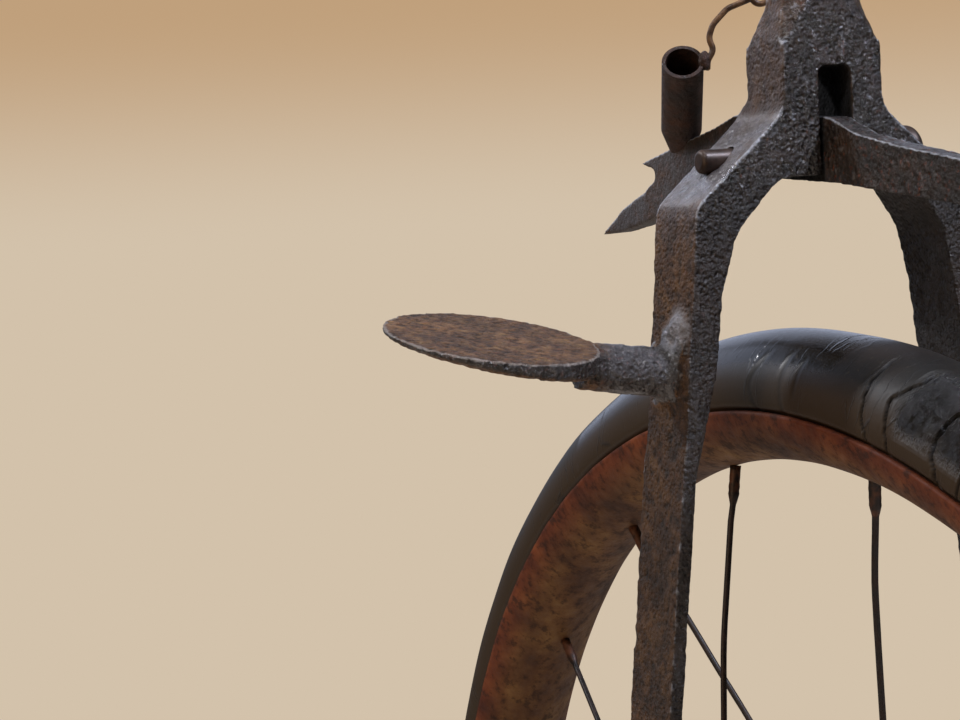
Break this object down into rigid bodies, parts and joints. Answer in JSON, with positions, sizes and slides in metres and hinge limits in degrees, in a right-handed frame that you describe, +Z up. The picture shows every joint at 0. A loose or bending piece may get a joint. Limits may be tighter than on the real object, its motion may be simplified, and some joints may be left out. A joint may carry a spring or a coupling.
{
  "type": "velocipede rear fork and wheel",
  "caption": "Iron rear fork of a high-wheel velocipede with its spoked, solid-tyred trailing wheel, side mounting step and pivoted spoon brake lever.",
  "frame": {"origin": "on the round seat at the root of the spigot, where the backbone tube stops, on the fork's centre line", "axes": "+Z up the fork's centre line along the spigot, +X forward, +Y to the rider's left, along the wheel's axle"},
  "size_m": [0.4059, 0.1649, 0.5188],
  "materials": {
    "crown_iron": "forged, pitted and oily with rust in the hollows",
    "blade_iron": "hammered and pitted, dark brown with rust",
    "step_iron": "pitted brown rust",
    "lever_iron": "dry brown rust with worn dark edges",
    "shoe_iron": "dry brown rust",
    "pin_steel": "worn bright with rust in the pits",
    "axle_steel": "dark, rubbed on the corners",
    "hub_iron": "turned, dark with rust",
    "rim_iron": "mottled brown rust",
    "spoke_iron": "near black, dull",
    "tyre_rubber": "old solid rubber, cracked across and worn smooth in places",
    "wire": "dull"
  },
  "bodies": {
    "fork": {"fork_crown": "crown_iron", "left_blade": "blade_iron", "right_blade": "blade_iron", "step": "step_iron", "brake_pivot_pin": "pin_steel", "axle": "axle_steel", "left_axle_nut": "axle_steel", "right_axle_nut": "axle_steel", "left_axle_washer": "axle_steel", "right_axle_washer": "axle_steel", "left_thrust_collar": "axle_steel", "right_thrust_collar": "axle_steel"},
    "wheel": {"tyre": "tyre_rubber", "rim": "rim_iron", "hub": "hub_iron", "spoke_01": "spoke_iron", "spoke_02": "spoke_iron", "spoke_03": "spoke_iron", "spoke_04": "spoke_iron", "spoke_05": "spoke_iron", "spoke_06": "spoke_iron", "spoke_07": "spoke_iron", "spoke_08": "spoke_iron", "spoke_09": "spoke_iron", "spoke_10": "spoke_iron", "spoke_11": "spoke_iron", "spoke_12": "spoke_iron", "spoke_13": "spoke_iron", "spoke_14": "spoke_iron", "spoke_15": "spoke_iron", "spoke_16": "spoke_iron", "spoke_17": "spoke_iron", "spoke_18": "spoke_iron", "spoke_19": "spoke_iron", "spoke_20": "spoke_iron"},
    "brake": {"brake_lever": "lever_iron", "brake_shoe": "shoe_iron", "brake_shoe_rivet": "shoe_iron", "cord_tube": "lever_iron", "pull_wire": "wire"}
  },
  "joints": [
    {"name": "wheel_spin", "type": "hinge", "parent": "fork", "child": "wheel", "pos_m": [0, 0, -0.2858], "axis": [0, 1, 0], "continuous": true},
    {"name": "brake_pivot", "type": "hinge", "parent": "fork", "child": "brake", "pos_m": [0, 0, -0.0486], "axis": [0, 1, 0], "range_deg": [-5, 19]}
  ]
}
